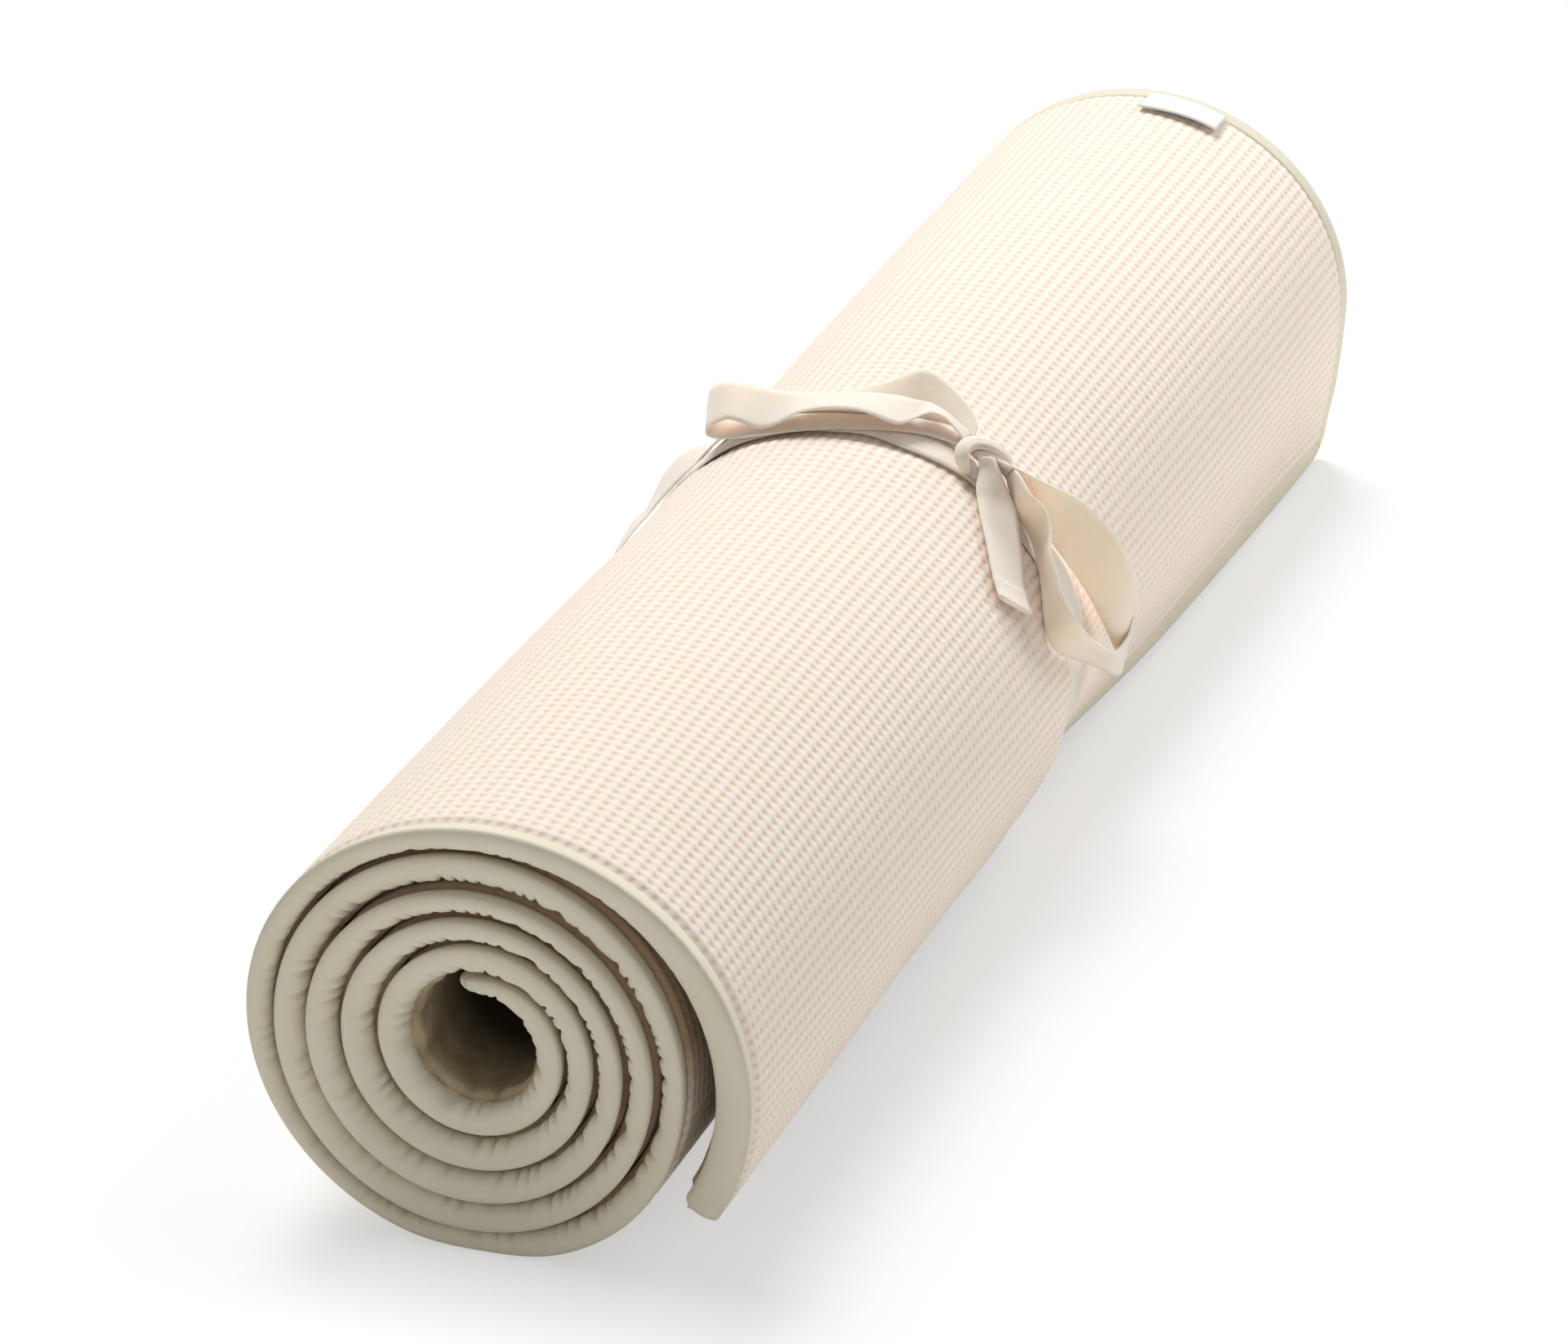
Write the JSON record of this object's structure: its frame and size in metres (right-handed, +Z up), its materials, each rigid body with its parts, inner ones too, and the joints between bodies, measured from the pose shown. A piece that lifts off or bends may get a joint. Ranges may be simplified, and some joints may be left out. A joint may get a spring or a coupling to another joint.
{
  "type": "yoga mat",
  "caption": "Rolled, padded cotton yoga mat with bound edges, held round the middle by a flat twill tape tied in a bow.",
  "frame": {"origin": "on the ground under the middle of the part's bounding box", "axes": "+Y along the roll, from the open spiral end towards the end with the label; +Z up; +X to the side on which the mat's free outer end lies"},
  "size_m": [0.1708, 0.61, 0.1364],
  "materials": {
    "mat_waffle": "matte waffle-woven cotton, cream ribs with peach hollows",
    "mat_core": "matte soft fibre pad",
    "mat_lining": "matte plain-woven cotton",
    "mat_binding": "smooth off-white binding tape",
    "twill_tape": "raw cotton herringbone twill",
    "label_cloth": "white woven label cloth, bare"
  },
  "bodies": {
    "mat": {"outer_cover": "mat_waffle", "core_pad": "mat_core", "inner_cover": "mat_lining", "binding_near_side": "mat_binding", "binding_far_side": "mat_binding", "binding_outer_end": "mat_binding", "binding_inner_end": "mat_binding", "tie_band": "twill_tape", "tie_knot": "twill_tape", "tie_tail_long": "twill_tape"},
    "left_loop": {"bow_loop_left": "twill_tape"},
    "right_loop": {"bow_loop_right": "twill_tape"},
    "short_tail": {"tie_tail_short": "twill_tape"},
    "long_tail_end": {"tie_tail_long_end": "twill_tape"},
    "label_fold": {"label": "label_cloth"}
  },
  "joints": [
    {"name": "left_loop_lift", "type": "hinge", "parent": "mat", "child": "left_loop", "pos_m": [0.03772, 0, 0.12048], "axis": [0, 1, 0], "range_deg": [0, 70]},
    {"name": "right_loop_lift", "type": "hinge", "parent": "mat", "child": "right_loop", "pos_m": [0.03772, 0, 0.12048], "axis": [0, -1, 0], "range_deg": [0, 70]},
    {"name": "short_tail_lift", "type": "hinge", "parent": "mat", "child": "short_tail", "pos_m": [0.03772, 0, 0.12048], "axis": [0, -1, 0], "range_deg": [0, 85]},
    {"name": "long_tail_swing", "type": "hinge", "parent": "mat", "child": "long_tail_end", "pos_m": [-0.05946, 0.02009, 0.10085], "axis": [0, 1, 0], "range_deg": [0, 60]},
    {"name": "label_flap", "type": "hinge", "parent": "mat", "child": "label_fold", "pos_m": [0.01149, 0.2979, 0.12486], "axis": [-0.9747, 0, 0.2236], "range_deg": [0, 90]}
  ]
}
